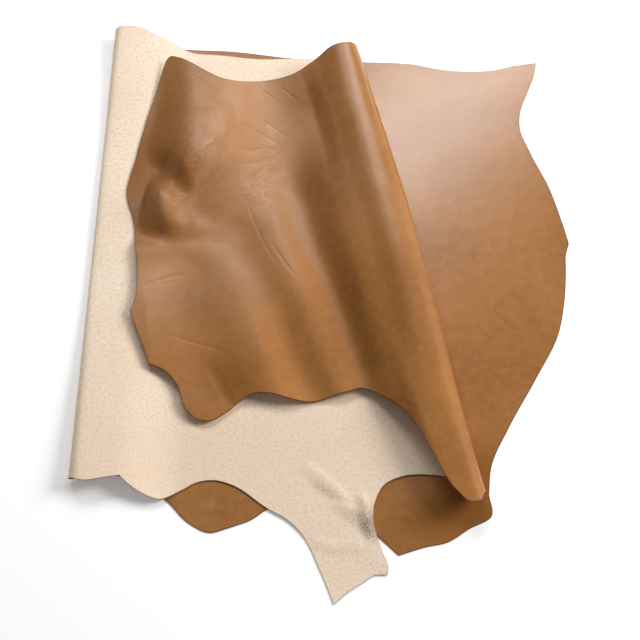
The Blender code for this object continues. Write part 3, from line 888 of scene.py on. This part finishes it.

# Places on the flat cut where the grain is paler or deeper, and where the flesh side is warmer or smudged.
# The deeper, warmer and smudged places are partly painted shade, as each table says.
PALE_PLACES = (
    # x, y, radius, flatness, turn, share
    (-1010, 470, 190, 0.55, 60, 0.75),
    (-1225, 330, 120, 0.45, 10, 0.50),
)
# Darker grain: deeper dye at the neck, with painted shade there too where its slopes turn from the light
DARKER_DYE_AND_PAINTED_SHADE_PLACES = (
    (-1150, 530, 210, 0.34, 50, 0.60),
    (-1143, 455, 66, 0.65, 60, 0.80),
    (-1188, 528, 185, 0.25, 52, 0.95),
    (-1240, 430, 130, 0.55, 80, 0.60),
    (-1250, 110, 150, 0.60, 0, 0.30),
    # Painted shadow of the right fold's tip on the bottom layer, under it and beside it
    (175, -325, 120, 0.50, 15, 0.90),
    (228, -262, 110, 0.60, 70, 0.80),
)
# Warmer, darker flesh: partly its own warmer tone, partly painted shade beside the top layer's edge and
# the right fold
WARM_TONE_AND_PAINTED_SHADE_PLACES = (
    (-560, -230, 440, 0.55, 5, 0.65),
    (-760, -160, 200, 0.70, 0, 0.45),
)
# Smudges on the leg: dirt where it was handled, and painted shade of the leg's folds
SMUDGES_AND_PAINTED_SHADE = (
    (-809, -311, 32, 0.55, 75, 1.00),
    (-812, -300, 52, 0.50, 60, 0.95),
    (-790, -300, 50, 0.36, 25, 0.55),
    (-743, -258, 50, 0.26, 33, 0.55),
)
# Smudges and painted shade sit between the clumps of the nap, and only this share of them on their tips
SMUDGE_AND_SHADE_CLUMPS = (0.25, 0.70)
SMUDGE_AND_SHADE_ON_TIPS = 0.2


def wrinkle_lines(shader):
    """Fine broken lines of several sizes that cross each other, from 0 to 1, on the neck."""
    lines = 0.0
    for per_metre, turn, wander, width in WRINKLES:
        drift = shader.noise(
            per_metre, detail=3.0, rough=0.6, stretch=WRINKLE_STRETCH, turn=turn, wander=wander
        )
        away = shader.maths("ABSOLUTE", shader.maths("SUBTRACT", drift, 0.5))
        line = shader.spread(away, width, 0.0)
        patchy = shader.spread(shader.noise(WRINKLE_PATCH * per_metre, detail=1.0), *WRINKLE_GAPS)
        lines = shader.maths("MAXIMUM", lines, shader.maths("MULTIPLY", line, patchy))
    return shader.maths("MULTIPLY", lines, shader.near_place(*WRINKLED))


def grain_material():
    """The grain side: aniline tan with cloudy colour, fine pores, neck wrinkles and a soft sheen."""
    shader = Shader("Calf_grain")
    clouds = shader.noise(PATCHES["grain clouds"], detail=4.0, rough=0.55, wander=0.4)
    mottle = shader.noise(PATCHES["mottle"], detail=4.0, rough=0.65)
    fine = shader.noise(PATCHES["fine mottle"], detail=2.0)
    pores = shader.spread(shader.cells(PATCHES["pores"]), *PORE_WALLS)
    lines = wrinkle_lines(shader)

    colour = shader.blend(shader.spread(clouds, *GRAIN_CLOUDS), GRAIN_DEEP, GRAIN_PALE)
    colour = shader.blend(EVEN_TAN, colour, GRAIN_TAN)
    colour = shader.blend(shader.spread(mottle, *MOTTLE_TINT), colour, GRAIN_LIT)
    colour = shader.blend(shader.spread(fine, *FINE_TINT), colour, GRAIN_DEEP)
    for share in shader.shares_at(PALE_PLACES):
        colour = shader.blend(share, colour, GRAIN_LIT)
    # Paints the darker places: deeper dye, painted shade on the neck's slopes, and the painted shadow of
    # the right fold's tip
    dye_and_painted_shade = 0.0
    for share in shader.shares_at(DARKER_DYE_AND_PAINTED_SHADE_PLACES):
        colour = shader.blend(share, colour, GRAIN_DEEP)
        dye_and_painted_shade = shader.maths("MAXIMUM", dye_and_painted_shade, share)
    # Painted shade in the creases of the neck's wrinkles
    colour = shader.blend(shader.maths("MULTIPLY", lines, WRINKLE_SHADE_TINT), colour, GRAIN_DEEP)
    # The grain's rim takes the cut edge's colour, with its painted contact shade
    colour = shader.blend(shader.attribute(RIM_MARK), colour, EDGE_BROWN_AND_SHADE)

    along, across = shader.along_and_across()
    before_shoulder = shader.spread(along, *BRISKET_TO_SHOULDER, 1.0, 0.0)
    below_neck = shader.spread(across, *BRISKET_TO_NECK, 1.0, 0.0)
    drier = shader.maths("MULTIPLY", shader.maths("MULTIPLY", before_shoulder, BRISKET_DRIER), below_neck)
    drier = shader.maths("MAXIMUM", drier, shader.maths("MULTIPLY", dye_and_painted_shade, DYE_AND_SHADE_DRIER))
    gloss = shader.maths("SUBTRACT", GLOSS, drier)
    roughness = shader.spread(along, *NECK_TO_RUMP, *ROUGHNESS)
    roughness = shader.maths("ADD", roughness, shader.spread(mottle, *MOTTLE_ROUGHNESS))

    normal = shader.bump(clouds, *CLOUD_RELIEF)
    normal = shader.bump(mottle, *MOTTLE_RELIEF, over=normal)
    normal = shader.bump(lines, *WRINKLE_RELIEF, over=normal)
    normal = shader.bump(pores, *PORE_RELIEF, over=normal)
    return shader.finish(
        Base_Color=colour, Roughness=roughness, Specular_IOR_Level=gloss, Normal=normal, IOR=1.5
    )


def flesh_material():
    """The flesh side: pale, with a short nap of fibres in clumps, darker where it was handled, and with
    painted shade in the leg's folds, beside the top layer and along its rim.
    """
    shader = Shader("Calf_flesh")
    clouds = shader.noise(PATCHES["flesh clouds"], detail=3.0)
    flecks = shader.noise(PATCHES["flecks"], detail=4.0, rough=0.75)
    clumps = shader.noise(PATCHES["clumps"], detail=3.0, rough=0.7)
    fibres = shader.noise(
        PATCHES["fibres"], detail=2.0, rough=0.6, stretch=FIBRE_STRETCH, turn=FIBRE_TURN, wander=0.8
    )

    colour = shader.blend(shader.spread(clouds, *FLESH_CLOUDS), FLESH_PALE, FLESH_WARM)
    # Paints the warmer places: their own warmer tone, and painted shade beside the top layer and the right
    # fold
    for share in shader.shares_at(WARM_TONE_AND_PAINTED_SHADE_PLACES):
        colour = shader.blend(share, colour, FLESH_WARM)
    colour = shader.blend(shader.spread(clumps, *CLUMP_TINT), colour, FLESH_WARM)
    colour = shader.blend(shader.spread(flecks, *FLECK_TINT), colour, FLESH_ROSE)
    colour = shader.blend(shader.spread(fibres, *FIBRE_TINT), colour, FLESH_DARK)
    # Paints the smudges: dirt, and painted shade in the leg's folds
    for *place, depth in SMUDGES_AND_PAINTED_SHADE:
        held = shader.spread(clumps, *SMUDGE_AND_SHADE_CLUMPS, depth, SMUDGE_AND_SHADE_ON_TIPS * depth)
        smudge_and_shade = shader.maths("MULTIPLY", shader.near_place(*place), held)
        colour = shader.blend(smudge_and_shade, colour, FLESH_SMUDGE_AND_SHADE)
    # Painted contact shade along the flesh side's rim
    rim = shader.maths("MULTIPLY", shader.attribute(RIM_MARK), FLESH_RIM_SHADE)
    colour = shader.blend(rim, colour, FLESH_DARK)

    normal = shader.bump(flecks, *FLECK_RELIEF)
    normal = shader.bump(clumps, *CLUMP_RELIEF, over=normal)
    normal = shader.bump(fibres, *FIBRE_RELIEF, over=normal)
    return shader.finish(Base_Color=colour, Roughness=0.92, Normal=normal, IOR=1.4, Sheen_Weight=0.15)


def edge_material():
    """The cut edge: matt fibres, dark in their own colour and darker still as painted contact shade."""
    shader = Shader("Calf_cut_edge")
    fibres = shader.noise(PATCHES["edge fibres"], detail=2.0)
    colour = shader.blend(shader.spread(fibres, *EDGE_TINT), EDGE_BROWN_AND_SHADE, GRAIN_DEEP)
    return shader.finish(Base_Color=colour, Roughness=0.85, Normal=shader.bump(fibres, *EDGE_RELIEF))


# The studio

CAMERA_DISTANCE = 3.2
CAMERA_ELEVATION = 60.0
CAMERA_LENS = 120.0
FLOOR_SIDE = 12.0
FLOOR_WHITE = (0.95, 0.95, 0.95, 1.0)
FLOOR_ROUGHNESS = 0.9
FLOOR_GLOSS = 0.1
FLOOR_GLOW = 0.20
WHITE = (1.0, 1.0, 1.0, 1.0)
SOFT_LIGHTS = (
    # name, bearing, elevation, distance, size, turn, radiance
    ("sheen strip", 10.0, 44.5, 1.92, (1.15, 0.30), 48.0, 12.5),
    ("window", 75.0, 32.0, 5.0, (2.6, 2.6), 0.0, 14.0),
    ("north fill", 340.0, 40.0, 5.0, (2.0, 2.0), 0.0, 6.0),
)
WORLD_STRENGTH = 0.20


def floor():
    """A plain pale surface under the leather."""
    half = FLOOR_SIDE / 2
    mesh = bpy.data.meshes.new("floor")
    corners = [(-half, -half, 0), (half, -half, 0), (half, half, 0), (-half, half, 0)]
    mesh.from_pydata(corners, [], [range(len(corners))])
    material = bpy.data.materials.new("Studio_floor")
    material.use_nodes = True
    surface = material.node_tree.nodes["Principled BSDF"]
    surface.inputs["Base Color"].default_value = FLOOR_WHITE
    surface.inputs["Roughness"].default_value = FLOOR_ROUGHNESS
    surface.inputs["Specular IOR Level"].default_value = FLOOR_GLOSS
    surface.inputs["Emission Color"].default_value = WHITE
    surface.inputs["Emission Strength"].default_value = FLOOR_GLOW
    mesh.materials.append(material)
    obj = bpy.data.objects.new("floor", mesh)
    bpy.context.scene.collection.objects.link(obj)


def soft_light(target, name, bearing, elevation, distance, size, turn, radiance):
    """One softbox that faces the leather, placed by its bearing from north through east and its height."""
    data = bpy.data.lights.new(name, "AREA")
    data.shape = "ELLIPSE"
    data.size, data.size_y = size
    lit_area = pi / 4 * size[0] * size[1]
    data.energy = radiance * pi * lit_area
    obj = bpy.data.objects.new(name, data)
    bpy.context.scene.collection.objects.link(obj)
    across, up = radians(bearing), radians(elevation)
    obj.location = target + distance * Vector((sin(across) * cos(up), cos(across) * cos(up), sin(up)))
    facing = (target - obj.location).to_track_quat("-Z", "Y")
    obj.rotation_euler = (facing @ Quaternion((0.0, 0.0, 1.0), radians(turn))).to_euler()


def studio():
    """The surface, the softboxes, an even light all round, and the camera in front and above."""
    target = Vector((PLAN_ZERO[0] * MM, PLAN_ZERO[1] * MM, 0.0))
    floor()
    for light in SOFT_LIGHTS:
        soft_light(target, *light)
    world = bpy.data.worlds.new("Studio")
    world.use_nodes = True
    sky = world.node_tree.nodes["Background"]
    sky.inputs["Color"].default_value = WHITE
    sky.inputs["Strength"].default_value = WORLD_STRENGTH
    bpy.context.scene.world = world
    data = bpy.data.cameras.new("Camera")
    data.lens = CAMERA_LENS
    camera = bpy.data.objects.new("Camera", data)
    bpy.context.scene.collection.objects.link(camera)
    elevation = radians(CAMERA_ELEVATION)
    camera.location = target + CAMERA_DISTANCE * Vector((0.0, -cos(elevation), sin(elevation)))
    camera.rotation_euler = (radians(90.0) - elevation, 0.0, 0.0)
    bpy.context.scene.camera = camera
    bpy.context.scene.view_settings.view_transform = "Standard"


studio()
hide = leather_sheet((grain_material(), flesh_material(), edge_material()))
flat_area = area_of(cut_loop())
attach(hide, "root")
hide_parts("hide")
print(hide.name, "has", len(hide.data.polygons), "faces")
